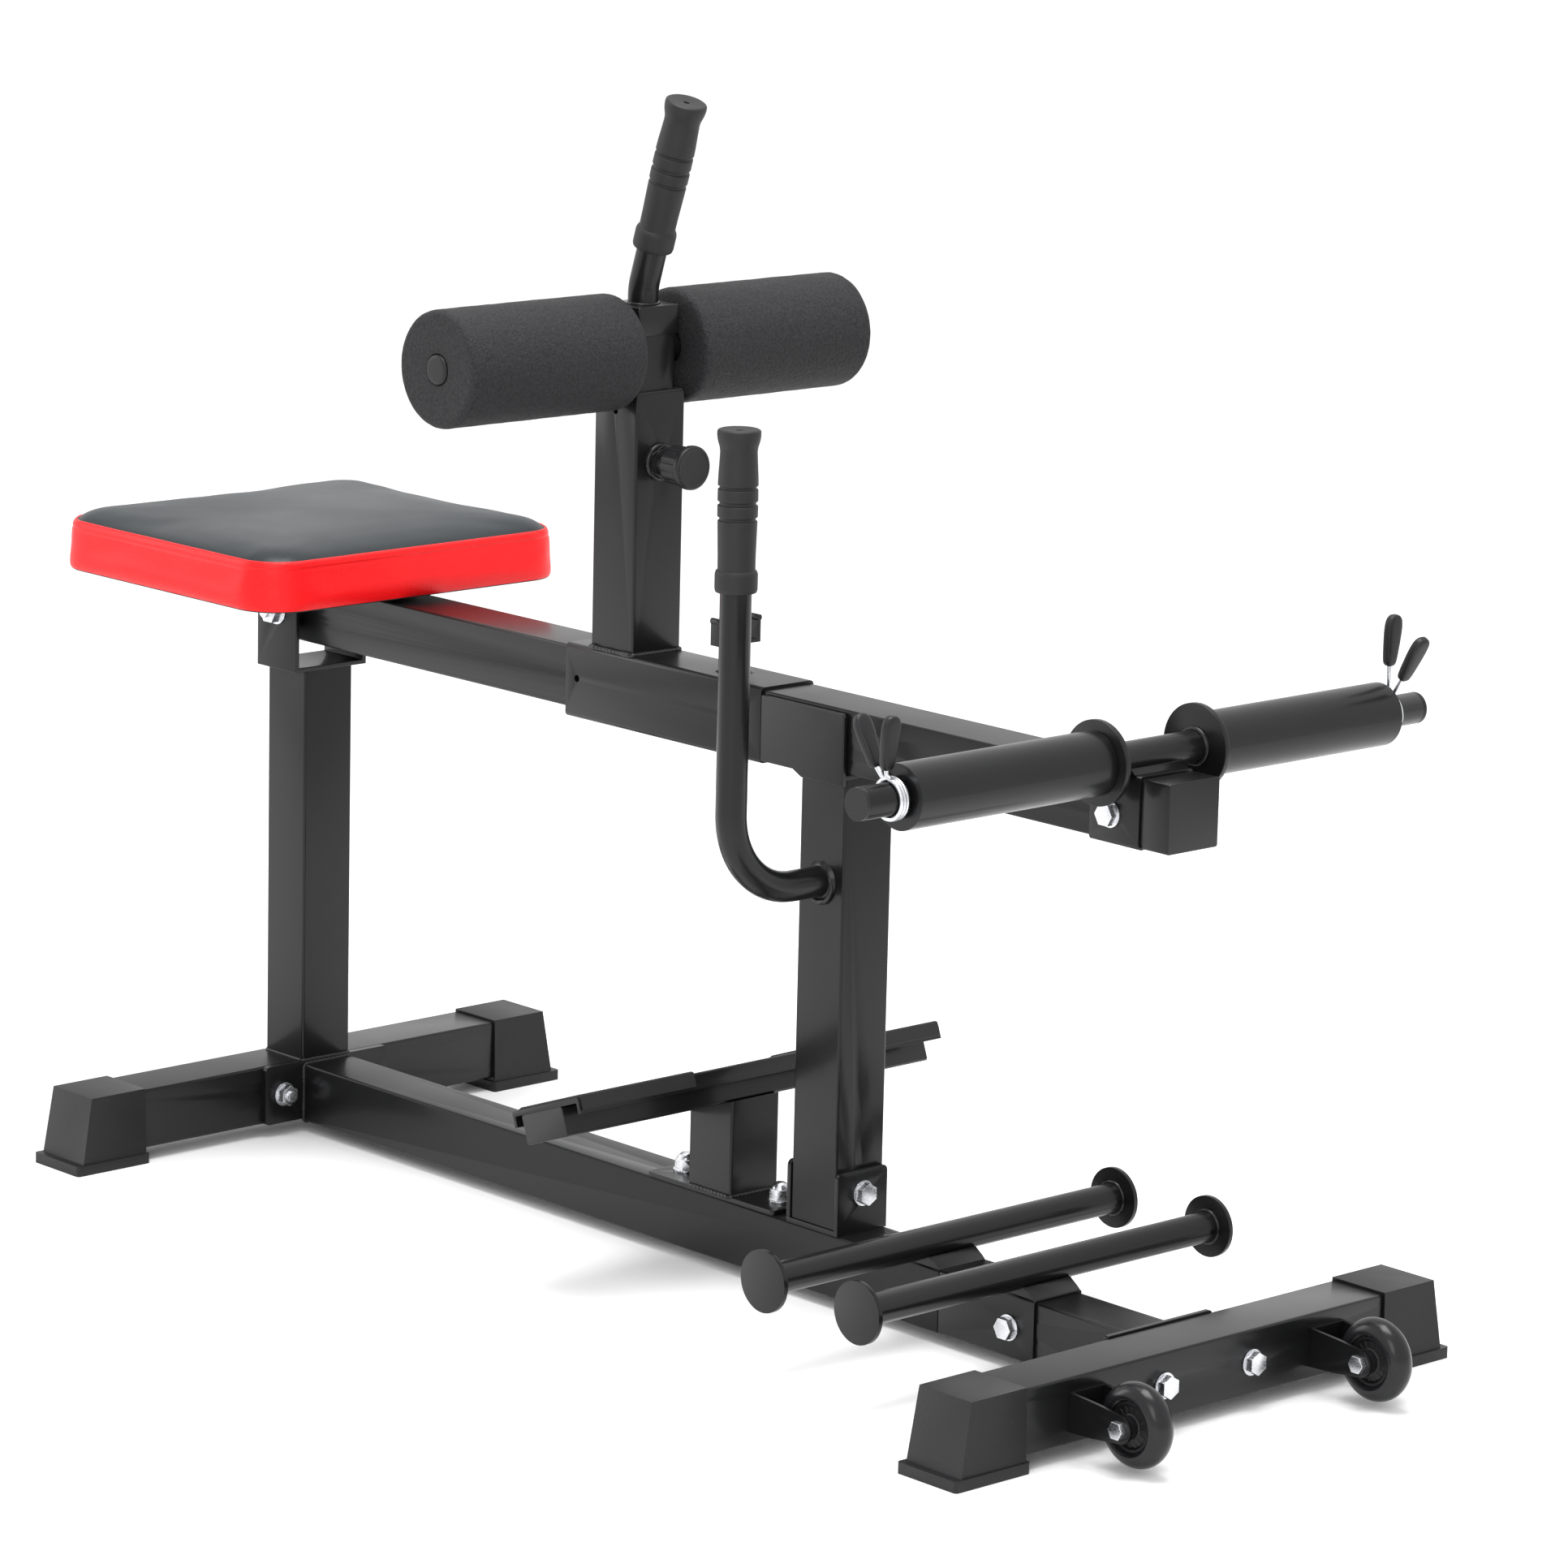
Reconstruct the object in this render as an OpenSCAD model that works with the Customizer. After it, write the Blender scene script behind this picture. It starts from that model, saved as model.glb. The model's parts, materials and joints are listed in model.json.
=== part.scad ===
// Seated calf-raise machine with a plate-loaded lever, knee rollers and a padded seat.
// X runs from the seat to the wheels, Y to the user's left, Z up. The floor is Z = 0.

/* [Base] */
// Side of the square frame tube
tube = 52; // [45:1:55]
// Wall of the square frame tube
tube_wall = 2; // [1.5:0.5:2]
// Outer corner radius of the square tubes
tube_r = 2.2; // [2:0.1:5]
// Distance from the rear cross tube's front face to the front cross tube's front face
base_len = 1080; // [1060:5:1120]
// Length of each cross tube
cross_len = 502; // [480:2:540]
// Height of the cross tubes' underside above the floor
cross_z = 12; // [11:0.5:15]
// Height of the base beam's underside above the floor
beam_z = 9.5; // [9:0.5:12]
// Front end of the base beam
beam_end = 811; // [811:1:820]
// Front end of the joining sleeve
sleeve_end = 918; // [910:1:930]
// Length of the moulded foot along the cross tube
foot_len = 57; // [50:1:65]

/* [Uprights] */
// Top of the rear upright
rear_top = 413; // [405:1:413]
// Centre of the rear upright, measured from the rear cross tube's front face
rear_x = -22; // [-24:0.5:-20]
// Centre of the front upright
front_x = 664.5; // [650:0.5:670]
// Top of the front upright
front_top = 434.8; // [430:0.1:435]
// Centre of the foot-plate post
step_x = 540; // [535:1:545]
// Tilt of the foot plate, in degrees
step_tilt = 20; // [10:1:25]
// Half the length of the foot plate
step_half = 198; // [180:1:210]

/* [Lever] */
// Pivot behind the rear cross tube's front face
pivot_x = -20; // [-22:0.5:-19]
// Height of the pivot and of the lever's centre line
pivot_z = 465; // [465:0.5:466]
// Front end of the lever tube
lever_end = 1016.5; // [1016.5:0.5:1030]
// Side of the sleeves that clamp round the lever tube
clamp_size = 57; // [56:0.5:58]
// Height of the sleeve that carries the knee-pad post
clamp_tall = 62; // [58:0.5:63]
// Centre of the knee-pad post
post_x = 407; // [400:1:415]
// Top of the knee-pad post's outer tube
post_top = 708.5; // [700:0.5:708.5]
// Side of the knee-pad post's inner tube
inner_size = 40; // [39:1:40]
// Height of the knee rollers' axle
roller_z = 741.5; // [740:0.5:742]
// Radius of a knee roller
roller_r = 47.5; // [40:0.5:48]
// Height of the pull pin
pin_z = 652; // [645:1:655]
// Distance between two holes for the pull pin
pin_pitch = 20; // [20:1:20]

/* [Seat] */
// Seat size along X
seat_len = 309; // [290:1:320]
// Seat size along Y
seat_wide = 336; // [320:1:350]
// Centre of the seat
seat_x = -22.5; // [-26:0.5:-18]
// Seat thickness at its edge
seat_thick = 45; // [40:1:50]
// Corner radius of the seat
seat_r = 42; // [30:1:60]

/* [Weight horn] */
// Centre of the weight bar
horn_x = 993; // [990:1:995]
// Half the length of the weight bar without its end plugs
horn_half = 298; // [295:1:300]
// Radius of the weight bar
horn_r = 12.5; // [12:0.5:14]
// Outer radius of the plate adapter
adapter_r = 25; // [24:0.5:25]

/* [Wheels] */
// Centre of the transport wheels, in front of the front cross tube
wheel_reach = 53; // [50:1:60]
// Height of the wheels' axles
wheel_z = 37; // [36:1:40]
// Radius of a wheel
wheel_r = 33; // [30:1:34]
// Distance of each wheel from the middle
wheel_y = 131; // [120:1:140]

/* [Hidden] */
$fn = 64;

steel = "#26272a";
rubber = "#1b1b1c";
zinc = "#c9ccd0";

half = tube / 2;
sides = [-1, 1];
// The origin lies under the middle of the object's length
wheel_x = base_len + wheel_reach;
seat_back = seat_x - seat_len / 2;
frame_x = -(wheel_x + wheel_r + seat_back) / 2;

plate = 4;
beam_top = beam_z + tube;
cross_mid = cross_z + half;
bolt_r = 5;
// Two bolts hold each cross tube
base_bolt_y = 48;
base_plate_y = 68;
stub_plate_y = 58;
lever_top = pivot_z + half;
lever_low = pivot_z - half;
clamp_top = pivot_z + clamp_size / 2;
ear_in = 35;
ear_top = 480;
axle_r = 6;
handle_r = 12.5;
running = 0.05;

// Moves a sub-part from the rear cross tube's frame to the object's origin
module place() translate([frame_x, 0, 0]) children();

module along_x() rotate([0, 90, 0]) children();
module along_y() rotate([-90, 0, 0]) children();

module round_rect(a, b, r) {
    square([a - 2 * r, b], center = true);
    square([a, b - 2 * r], center = true);
    for (i = sides, j = sides) translate([i * (a / 2 - r), j * (b / 2 - r)]) circle(r);
}

module tube_section(a, b, wall, r) difference() {
    round_rect(a, b, r);
    round_rect(a - 2 * wall, b - 2 * wall, max(r - wall, 0.8));
}

// Square tube from z = 0 upwards
module tube_up(len, size = tube, wall = tube_wall, r = tube_r)
    linear_extrude(len) tube_section(size, size, wall, r);

// Hexagon bolt along +Z: head below z = 0, nut and thread end above z = grip
module hex_bolt(grip, r = bolt_r, washers = true) {
    washer = washers ? 1.6 : 0;
    translate([0, 0, -washer - 1.3 * r]) cylinder(h = 1.3 * r, r = 1.85 * r, $fn = 6);
    if (washers) translate([0, 0, -washer]) cylinder(h = washer, r = 2.1 * r);
    cylinder(h = grip, r = r);
    if (washers) translate([0, 0, grip]) cylinder(h = washer, r = 2.1 * r);
    translate([0, 0, grip + washer]) cylinder(h = 1.5 * r, r = 1.85 * r, $fn = 6);
    translate([0, 0, grip + washer + 1.5 * r]) cylinder(h = 0.8 * r, r = 0.9 * r);
    translate([0, 0, -washer]) cylinder(h = grip + 3 * washer, r = r);
}

// ---- base ----

module cross_tube(front_face) color(steel) place() difference() {
    translate([front_face - half, cross_len / 2, cross_mid]) rotate([90, 0, 0]) tube_up(cross_len);
    for (s = sides) translate([front_face - tube, s * base_bolt_y, cross_mid])
        along_x() translate([0, 0, -1]) cylinder(h = tube + 2, r = bolt_r);
}
module rear_cross_tube() cross_tube(0);
module front_cross_tube() cross_tube(base_len);

// Tapered moulded foot with a flared sole, closed on its outer side
module moulded_foot(front_face, side) {
    wall = 1.8;
    end_y = cross_len / 2;
    top = cross_z + tube + wall;
    sole = 9;
    flare = 10;
    inner_y = end_y + wall - foot_len;
    mid = half + wall;
    color(rubber) place() translate([front_face - half, 0, 0]) mirror([0, side < 0 ? 1 : 0, 0])
    difference() {
        union() {
            intersection() {
                rotate([90, 0, 90]) linear_extrude(2 * tube, center = true)
                    polygon([[inner_y, sole - 1], [end_y + wall + flare, sole - 1],
                        [end_y + wall, top], [inner_y, top]]);
                rotate([90, 0, 0]) linear_extrude(4 * tube + cross_len, center = true)
                    polygon([[-mid - 1.5, sole - 1], [mid + 1.5, sole - 1], [mid, top], [-mid, top]]);
            }
            translate([0, (inner_y - 2 + end_y + wall + 17) / 2, 0])
                linear_extrude(sole) round_rect(2 * mid + 8, end_y + wall + 20 - inner_y, 3);
        }
        translate([0, end_y, cross_mid]) rotate([90, 0, 0]) linear_extrude(foot_len + 10)
            round_rect(tube, tube, tube_r);
    }
}
module rear_feet() for (s = sides) moulded_foot(0, s);
module front_feet() for (s = sides) moulded_foot(base_len, s);

module rear_upright() color(steel) place()
    translate([rear_x, 0, cross_z + tube]) tube_up(rear_top - cross_z - tube);

// U-shaped bracket whose ears carry the lever's pivot bolt
module pivot_bracket() {
    back = pivot_x - 27;
    front = pivot_x + 27;
    ear_r = 12;
    color(steel) place() difference() {
        union() {
            translate([back, -ear_in - plate, rear_top]) cube([front - back, 2 * (ear_in + plate), plate]);
            for (s = sides) translate([(back + front) / 2, s * (ear_in + plate / 2), rear_top])
                rotate([90, 0, 0]) linear_extrude(plate, center = true) {
                    translate([-(front - back) / 2, 0]) square([front - back, ear_top - ear_r - rear_top]);
                    translate([-(front - back) / 2 + ear_r, 0])
                        square([front - back - 2 * ear_r, ear_top - rear_top]);
                    for (i = sides)
                        translate([i * ((front - back) / 2 - ear_r), ear_top - ear_r - rear_top])
                        circle(ear_r);
                }
        }
        translate([pivot_x, 0, pivot_z]) along_y() cylinder(h = 200, r = axle_r, center = true);
    }
}

module pivot_bolt() color(zinc) place()
    translate([pivot_x, ear_in + plate, pivot_z]) rotate([90, 0, 0])
        hex_bolt(2 * (ear_in + plate), axle_r);

// Main beam with its bolted end plate
module base_beam() color(steel) place() difference() {
    union() {
        translate([6, 0, beam_z + half]) along_x() tube_up(beam_end - 6);
        translate([0, 0, cross_mid]) along_x() linear_extrude(6) round_rect(tube, 2 * base_plate_y, 4);
    }
    for (s = sides) translate([-1, s * base_bolt_y, cross_mid]) along_x() cylinder(h = 10, r = bolt_r);
    for (s = sides) translate([step_x + s * step_bolt_x, 0, 0]) cylinder(h = 2 * tube, r = bolt_r);
}

module joining_sleeve() color(steel) place() difference() {
    translate([beam_end + 0.8, 0, beam_z + half]) along_x() tube_up(sleeve_end - beam_end - 0.8);
    translate([sleeve_bolt_x, 0, sleeve_bolt_z]) along_y()
        cylinder(h = 2 * tube, r = bolt_r, center = true);
}
sleeve_bolt_x = 891;
sleeve_bolt_z = 34;

// Inner tube that joins the beam to the front cross tube, with its bolted end plate
module stub_tube() {
    size = tube - 2 * tube_wall;
    back = 700;
    face = base_len - tube;
    color(steel) place() difference() {
        union() {
            translate([back, 0, beam_z + half]) along_x() tube_up(face - plate - back, size, 2, 2);
            translate([face - plate, 0, cross_mid]) along_x()
                linear_extrude(plate) round_rect(tube + 3, 2 * stub_plate_y, 4);
        }
        for (s = sides) translate([face - 10, s * base_bolt_y, cross_mid])
            along_x() cylinder(h = 20, r = bolt_r);
        translate([sleeve_bolt_x, 0, sleeve_bolt_z]) along_y()
            cylinder(h = 2 * tube, r = bolt_r, center = true);
    }
}

// Low cross bars with end discs, one on the beam and one on the sleeve
peg_x = [789, 895];
peg_r = 12.5;
peg_half = 194;
peg_z = beam_top + 4 + peg_r;
module band_pegs() color(steel) place() for (x = peg_x) {
    translate([x, 0, peg_z]) along_y() {
        cylinder(h = 2 * peg_half - 8, r = peg_r, center = true);
        for (s = sides) translate([0, 0, s * (peg_half - 2)]) cylinder(h = 4, r = 25, center = true);
    }
    translate([x, 0, beam_top]) rotate([90, 0, 0]) linear_extrude(tube - 2, center = true)
        polygon([[-22, 0], [22, 0], [19, 2.5], [11, 8], [-11, 8], [-19, 2.5]]);
}

upright_bolt_z = 94;
module frame_bolts() color(zinc) place() {
    for (s = sides) {
        translate([-tube, s * base_bolt_y, cross_mid]) along_x() hex_bolt(tube + 6);
        translate([base_len, s * base_bolt_y, cross_mid]) rotate([0, -90, 0]) hex_bolt(tube + plate);
    }
    translate([sleeve_bolt_x, -half, sleeve_bolt_z]) along_y() hex_bolt(tube);
    translate([front_x + half + plate, 0, upright_bolt_z]) rotate([0, -90, 0]) hex_bolt(tube + 2 * plate);
}

// ---- wheels ----

fork_in = 16;
fork_plate = 3;
wheel_bolt_r = 4;
module wheel_forks() color(steel) place() for (s = sides) translate([base_len, s * wheel_y, 0]) {
    difference() {
        union() {
            translate([0, -fork_in - fork_plate, wheel_z - 15])
                cube([fork_plate, 2 * (fork_in + fork_plate), 31]);
            for (k = sides) translate([0, k * (fork_in + fork_plate / 2), wheel_z]) rotate([90, 0, 0])
                linear_extrude(fork_plate, center = true) {
                    translate([wheel_reach, 0]) circle(11);
                    polygon([[0, -15], [0, 16], [30, 13.5], [wheel_reach + 2, 10.8],
                        [wheel_reach, -11], [24, -14]]);
                }
        }
        translate([wheel_reach, 0, wheel_z]) along_y() cylinder(h = 100, r = wheel_bolt_r, center = true);
    }
}
module wheel_bolts() color(zinc) place() for (s = sides)
    translate([wheel_x, s * wheel_y - fork_in - fork_plate, wheel_z]) along_y()
        hex_bolt(2 * (fork_in + fork_plate), wheel_bolt_r, false);

module wheel_tyre(side) color(rubber) place() translate([wheel_x, side * wheel_y, wheel_z]) along_y()
    rotate_extrude() {
        intersection() {
            translate([wheel_r - 12, 0]) circle(12);
            translate([18, -12]) square([wheel_r, 24]);
        }
    }
module wheel_tyre_left() wheel_tyre(1);
module wheel_tyre_right() wheel_tyre(-1);
module wheel_hub(side) color(steel) place() translate([wheel_x, side * wheel_y, wheel_z]) along_y()
    rotate_extrude() {
        inner = wheel_bolt_r + running;
        translate([inner, -fork_in + 0.3]) square([9 - inner, 2 * (fork_in - 0.3)]);
        translate([inner, -4]) square([18 - inner, 8]);
        translate([15, -9]) square([3, 18]);
    }
module wheel_hub_left() wheel_hub(1);
module wheel_hub_right() wheel_hub(-1);

// ---- uprights and foot plate ----

module upright_bracket() color(steel) place() difference() {
    union() {
        translate([front_x - half - plate, -27, beam_top]) cube([tube + 2 * plate, 54, plate]);
        for (s = sides) translate([front_x + s * (half + plate / 2), 0, beam_top + 26]) along_x()
            linear_extrude(plate, center = true) round_rect(52, 54, 5);
    }
    translate([front_x, 0, upright_bolt_z]) along_x() cylinder(h = 2 * tube, r = bolt_r, center = true);
}

module front_upright() color(steel) place() difference() {
    translate([front_x, 0, beam_top + plate]) tube_up(front_top - beam_top - plate);
    translate([front_x, 0, upright_bolt_z]) along_x() cylinder(h = 2 * tube, r = bolt_r, center = true);
}

// Cradle on the front upright that the lever rests in
module lever_saddle() {
    back = 595;
    front = 692;
    gap = 1;
    top = lever_top - 2.5;
    floor_z = lever_low - 0.2;
    color(steel) place() {
        for (s = sides) translate([0, s * (half + gap + plate / 2), 0]) rotate([90, 0, 0])
            linear_extrude(plate, center = true)
                polygon([[back, floor_z - plate], [633, floor_z - plate], [643, front_top - 5],
                    [front, front_top - 5], [front, top - 3], [front - 3, top], [back, top]]);
        translate([back, -half - gap, front_top])
            cube([front - back, 2 * (half + gap), floor_z - front_top]);
    }
}

// Bent hand rail on the front upright, on the user's right
rail_y = -124;
rail_z = 349;
rail_bend = 66;
rail_grip_z = 592;
module bend_quarter(bend, r, angle = 90) rotate_extrude(angle = angle) translate([bend, 0]) circle(r);
module grab_handle() color(steel) place() translate([front_x, 0, 0]) {
    translate([0, -half, rail_z]) rotate([90, 0, 0])
        cylinder(h = -rail_y - rail_bend - half, r = handle_r);
    translate([0, rail_y + rail_bend, rail_z + rail_bend]) rotate([0, 90, 0]) rotate([0, 0, -90])
        bend_quarter(rail_bend, handle_r);
    translate([0, rail_y, rail_z + rail_bend])
        cylinder(h = rail_grip_z + grip_bore - 1 - rail_z - rail_bend, r = handle_r);
    translate([0, -half, rail_z]) rotate([90, 0, 0]) rotate_extrude()
        polygon([[handle_r - 1, 0], [handle_r + 4, 0], [handle_r + 1.5, 2.5], [handle_r - 1, 4]]);
}

// Moulded hand grip standing on z = 0
grip_len = 128;
// Depth of the bore that takes the tube, and of the tube inside it
grip_bore = 123;
module hand_grip() rotate_extrude() difference() {
    union() {
        translate([0, 0]) square([16, 17]);
        translate([0, 1]) square([17, 15]);
        polygon([[0, 16], [15, 16], [14.6, 35], [15.2, 58], [0, 58]]);
        translate([0, 57]) square([14, 30]);
        for (z = [59, 73]) translate([0, z]) square([16, 12]);
        polygon([[0, 86], [15.4, 86], [15.4, 112], [16, 119], [17.6, 123],
            [17.6, grip_len - 2], [16, grip_len], [0, grip_len]]);
    }
    translate([0, -1]) square([handle_r, grip_bore + 1]);
    translate([0, -1]) square([2.5, grip_len + 2]);
}
module grab_handle_grip() color(rubber) place() translate([front_x, rail_y, rail_grip_z]) hand_grip();

step_bolt_x = 58;
step_z = 147.5;
step_mid_x = 533;
step_tube_h = 24.5;
module step_frame() translate([step_mid_x, 0, step_z]) rotate([0, -step_tilt, 0]) children();

// Post under the foot plate with its bolted flange, cut to the plate's slope
module foot_post() color(steel) place() difference() {
    union() {
        translate([step_x, 0, beam_top + plate]) tube_up(130);
        translate([step_x, 0, beam_top]) linear_extrude(plate) round_rect(154, tube, 4);
    }
    step_frame() translate([-100, -tube, -step_tube_h / 2]) cube([200, 2 * tube, 200]);
    for (s = sides) translate([step_x + s * step_bolt_x, 0, 0]) cylinder(h = 100, r = bolt_r);
}

// Bolts up through the beam with domed nuts on the flange
module foot_post_bolts() color(zinc) place() for (s = sides) translate([step_x + s * step_bolt_x, 0, 0]) {
    translate([0, 0, beam_z - 6.4]) cylinder(h = 6.4, r = 9.2, $fn = 6);
    translate([0, 0, beam_z]) cylinder(h = tube + plate, r = bolt_r);
    translate([0, 0, beam_top + plate]) {
        cylinder(h = 2, r = 10.5);
        translate([0, 0, 2]) cylinder(h = 9, r = 9.2, $fn = 6);
        translate([0, 0, 9]) rotate_extrude() intersection() {
            translate([0, 0]) circle(8);
            square([10, 10]);
        }
    }
}

module foot_beam() color(steel) place() step_frame() rotate([90, 0, 0])
    translate([0, 0, -step_half]) linear_extrude(2 * step_half) round_rect(tube, step_tube_h, 2.5);

plate_shift = 5.3;
plate_half = 42.5;
plate_thick = 4.4;
module foot_plate() color(steel) place() step_frame() rotate([90, 0, 0])
    translate([plate_shift, step_tube_h / 2, -step_half]) linear_extrude(2 * step_half) {
        translate([-plate_half + 2, 0]) square([2 * plate_half - 4, plate_thick]);
        for (s = sides) {
            translate([s * (plate_half - 1.5) - 1.5, -9]) square([3, 11]);
            translate([s * (plate_half - 2.4), 2]) circle(2.4);
        }
    }

tread_thick = 1.8;
module foot_treads() color(rubber) place() step_frame() for (s = sides)
    translate([plate_shift, s * (step_half - 62), step_tube_h / 2 + plate_thick]) {
        translate([-plate_half + 6, -60, 0]) cube([2 * plate_half - 6, 120, tread_thick]);
        translate([plate_half, -60, -11]) cube([tread_thick, 120, 11 + tread_thick]);
    }

// ---- lever ----

horn_bolt_x = 984;
horn_bolt_z = 460;
bush_r = 11;
module lever_beam() color(steel) place() difference() {
    translate([pivot_x - 30, 0, pivot_z]) along_x() tube_up(lever_end - pivot_x + 30);
    translate([pivot_x, 0, pivot_z]) along_y() cylinder(h = 2 * tube, r = bush_r, center = true);
    translate([horn_bolt_x, 0, horn_bolt_z]) along_y() cylinder(h = 2 * tube, r = bolt_r, center = true);
    for (x = [post_x - 40, post_x + 160]) translate([x, 0, pivot_z]) along_y()
        cylinder(h = 2 * tube, r = 3, center = true);
}

insert_size = tube - 2 * tube_wall;
module end_insert() translate([0, 0, -12]) linear_extrude(12) tube_section(insert_size, insert_size, 2, 1);
// Hollow square cap on the lever's front end
module lever_front_cap() color(steel) place() translate([lever_end, 0, pivot_z]) along_x() {
    size = tube + 2;
    length = 27;
    end_insert();
    linear_extrude(3) round_rect(size, size, 2);
    translate([0, 0, length - 3]) linear_extrude(3) round_rect(size, size, 2);
    linear_extrude(length) tube_section(size, size, 3, 2);
}
module lever_rear_plug() color(rubber) place() translate([pivot_x - 30, 0, pivot_z]) rotate([0, -90, 0]) {
    end_insert();
    linear_extrude(3) round_rect(tube, tube, tube_r);
}

module lever_bushings() color(rubber) place() for (s = sides)
    translate([pivot_x, 0, pivot_z]) rotate([-90 * s, 0, 0]) rotate_extrude() {
        translate([axle_r + running, half - 12]) square([bush_r - axle_r - running, 12]);
        translate([axle_r + running, half]) square([17 - axle_r - running, ear_in - half - 0.3]);
    }

clamp_wall = (clamp_size - tube) / 2;
module clamp_tube(back, front, tall) color(steel) place() difference() {
    translate([back, 0, clamp_top - tall / 2]) along_x() linear_extrude(front - back) difference() {
        round_rect(tall, clamp_size, 4);
        round_rect(tall - 2 * clamp_wall, tube, 1.2);
    }
    children();
}
// Sleeve round the lever that carries the knee-pad post
module post_clamp() clamp_tube(353, 592, clamp_tall) for (x = [post_x - 40, post_x + 160])
    translate([x, 0, pivot_z]) along_y() cylinder(h = 2 * tube, r = 3, center = true);
module horn_clamp() clamp_tube(962, 1014, clamp_size) {
    translate([horn_bolt_x, 0, horn_bolt_z]) along_y() cylinder(h = 2 * tube, r = bolt_r, center = true);
    translate([horn_x, 0, horn_z]) along_y() cylinder(h = 2 * tube, r = horn_r, center = true);
}
// Low saddle between the clamp and the bar
module horn_saddle() translate([horn_x, 0, clamp_top]) rotate([90, 0, 0])
    linear_extrude(2 * tube - 8, center = true)
    polygon([[-16, 0], [16, 0], [10, 5], [-10, 5]]);

module post_outer_tube() color(steel) place() difference() {
    translate([post_x, 0, clamp_top]) tube_up(post_top - clamp_top);
    translate([post_x, 0, pin_z]) along_x() cylinder(h = tube, r = bolt_r + running);
    translate([post_x, 0, post_top - 16]) along_y() cylinder(h = 2 * tube, r = 2.5, center = true);
}

slide_gap = 0.2;
module post_bush() color(rubber) place() translate([post_x, 0, 0]) difference() {
    union() {
        translate([0, 0, post_top - 40]) linear_extrude(40)
            round_rect(tube - 2 * tube_wall, tube - 2 * tube_wall, 1);
        translate([0, 0, post_top]) linear_extrude(1.5) round_rect(tube - 1, tube - 1, 3);
    }
    translate([0, 0, post_top - 60]) linear_extrude(80)
        round_rect(inner_size + 2 * slide_gap, inner_size + 2 * slide_gap, 3);
    translate([0, 0, post_top - 16]) along_y() cylinder(h = 2 * tube, r = 2.5, center = true);
}

// Small open cradle on a short stem welded to the post's sleeve
cradle_x = 529;
cradle_z = 516.5;
cradle_half = 19;
cradle_thick = 3;
module bar_cradle() color(steel) place() translate([cradle_x, 0, 0]) {
    width = 12;
    translate([0, 0, clamp_top]) cylinder(h = cradle_z - clamp_top, r = 11);
    translate([0, 0, clamp_top]) rotate_extrude() polygon([[10, 0], [16, 0], [13, 2], [11, 6], [10, 6]]);
    rotate([90, 0, 90]) linear_extrude(width, center = true) {
        translate([-cradle_half - cradle_thick, cradle_z])
            square([2 * (cradle_half + cradle_thick), cradle_thick]);
        for (s = sides) {
            translate([s * (cradle_half + cradle_thick / 2) - cradle_thick / 2, cradle_z])
                square([cradle_thick, 20]);
            translate([s * (cradle_half + cradle_thick / 2), cradle_z + 20]) circle(2.6);
        }
    }
}

// ---- seat ----

seat_low = lever_top + plate;
board_thick = 12;
seat_bolt_x = 55;
seat_bolt_y = 45;
module seat_plate() color(steel) place() difference() {
    translate([seat_x, 0, lever_top]) linear_extrude(plate) round_rect(150, 120, 8);
    for (i = sides, j = sides) translate([seat_x + i * seat_bolt_x, j * seat_bolt_y, lever_top - 1])
        cylinder(h = plate + 2, r = 3);
}
module seat_board() color("#6b5a44") place() difference() {
    translate([seat_x, 0, seat_low]) linear_extrude(board_thick)
        round_rect(seat_len - 8, seat_wide - 8, seat_r - 4);
    for (i = sides, j = sides) translate([seat_x + i * seat_bolt_x, j * seat_bolt_y, seat_low - 1])
        cylinder(h = board_thick, r = 3);
}
module seat_cushion() color("#202326") place() difference() {
    translate([seat_x, 0, seat_low]) linear_extrude(seat_thick) round_rect(seat_len, seat_wide, seat_r);
    translate([seat_x, 0, seat_low - 1]) linear_extrude(board_thick + 1)
        round_rect(seat_len - 8, seat_wide - 8, seat_r - 4);
}
// Four seat bolts and the bolt through the weight bar's clamp
module lever_bolts() color(zinc) place() {
    for (i = sides, j = sides) translate([seat_x + i * seat_bolt_x, j * seat_bolt_y, lever_top]) {
        translate([0, 0, -4]) cylinder(h = 4, r = 5.5, $fn = 6);
        cylinder(h = plate + 9, r = 3);
    }
    translate([horn_bolt_x, -clamp_size / 2, horn_bolt_z]) along_y() hex_bolt(clamp_size);
}

// ---- weight horn ----

bar_sink = 2;
horn_z = clamp_top + horn_r - bar_sink;
flange_y = 51;
flange_thick = 5;
module weight_bar() color(steel) place() {
    intersection() {
        horn_saddle();
        translate([horn_x, 0, clamp_top]) cube([tube, clamp_size, tube], center = true);
    }
    translate([horn_x, 0, horn_z]) along_y() difference() {
        cylinder(h = 2 * horn_half, r = horn_r, center = true);
        for (s = sides) translate([0, 0, s * horn_half]) cylinder(h = 30, r = horn_r - 2.5, center = true);
    }
    for (s = sides) translate([horn_x, s * (flange_y + flange_thick / 2), horn_z]) along_y()
        cylinder(h = flange_thick, r = 33, center = true);
}
module weight_bar_plugs() color(rubber) place() for (s = sides)
    translate([horn_x, s * horn_half, horn_z]) rotate([-90 * s, 0, 0]) {
        cylinder(h = 3, r = horn_r);
        translate([0, 0, -14]) cylinder(h = 14, r = horn_r - 2.5);
    }

adapter_len = 202;
adapter_y = flange_y + flange_thick + 0.5;
module plate_adapter(side) color(steel) place() translate([horn_x, side * adapter_y, horn_z])
    rotate([-90 * side, 0, 0]) rotate_extrude() {
        inner = horn_r + running;
        translate([adapter_r - 3, 0]) square([3, adapter_len]);
        for (y = [0, adapter_len / 2 - 4, adapter_len - 8]) translate([inner, y])
            square([adapter_r - inner - 1, 8]);
    }
module plate_adapter_left() plate_adapter(1);
module plate_adapter_right() plate_adapter(-1);

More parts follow.
